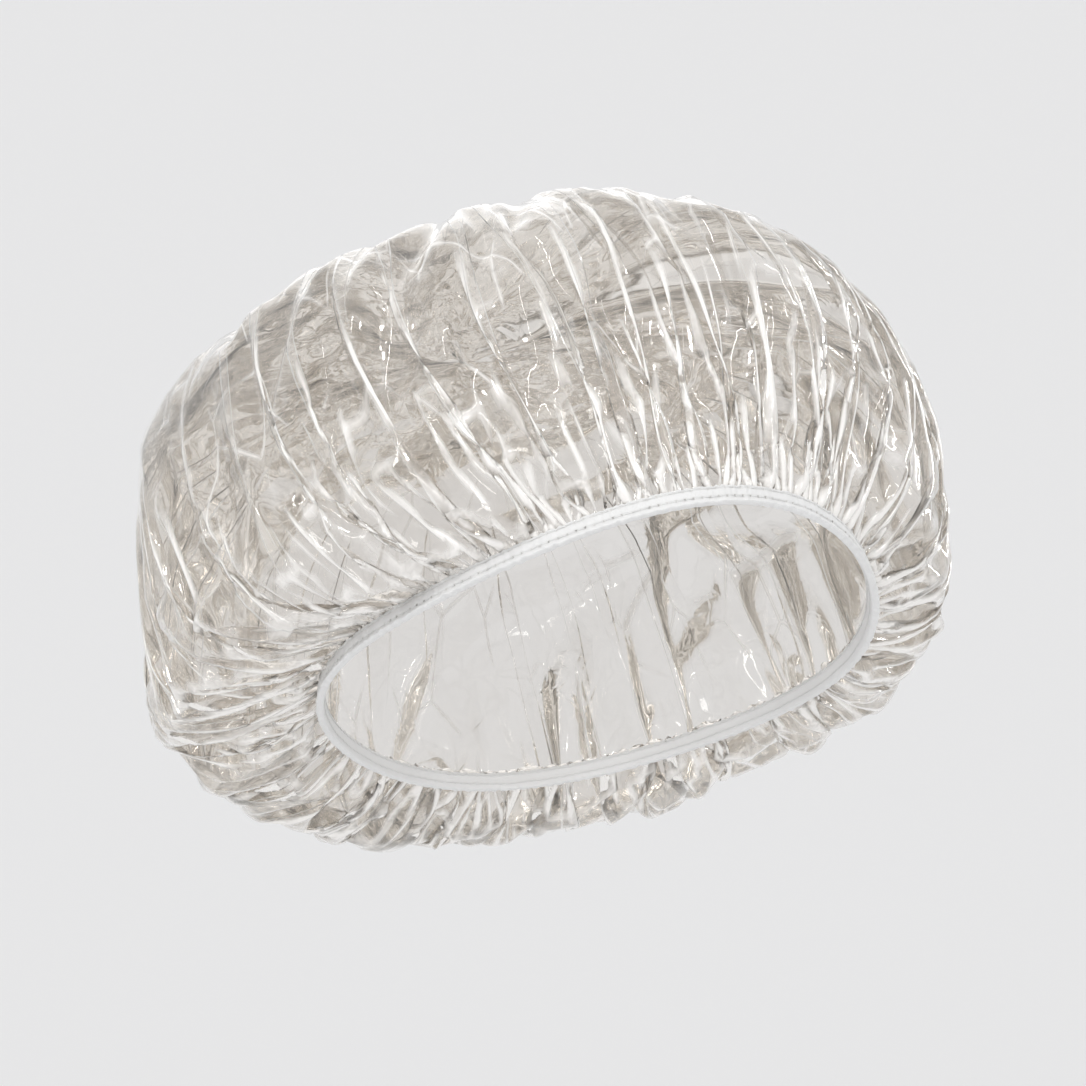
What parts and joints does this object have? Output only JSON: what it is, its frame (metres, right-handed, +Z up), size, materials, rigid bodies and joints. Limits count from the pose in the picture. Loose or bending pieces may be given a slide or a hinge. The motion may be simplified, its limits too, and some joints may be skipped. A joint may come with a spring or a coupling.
{
  "type": "shower cap",
  "caption": "Clear gathered film shower cap with a folded white elastic binding, held open as on a head.",
  "frame": {"origin": "middle of the head opening, the closed line that the elastic binding follows", "axes": "+Z up as worn on an upright head, -Y towards the wearer's front, +X towards the wearer's left"},
  "size_m": [0.2633, 0.2993, 0.2148],
  "materials": {
    "clear_film": "clear glossy polyethylene film with whitish creases",
    "elastic_tape": "white woven elastic tape with a slight sheen",
    "strand_rubber": "natural latex strands, matte",
    "sewing_thread": "white spun polyester thread"
  },
  "bodies": {
    "root": {"crown_film": "clear_film", "binding_tape": "elastic_tape", "rubber_strand_1": "strand_rubber", "rubber_strand_2": "strand_rubber", "rubber_strand_3": "strand_rubber", "needle_thread_1": "sewing_thread", "needle_thread_2": "sewing_thread", "looper_thread_1": "sewing_thread", "looper_thread_2": "sewing_thread", "tape_end_lap": "elastic_tape", "bar_tack": "sewing_thread"}
  },
  "joints": []
}
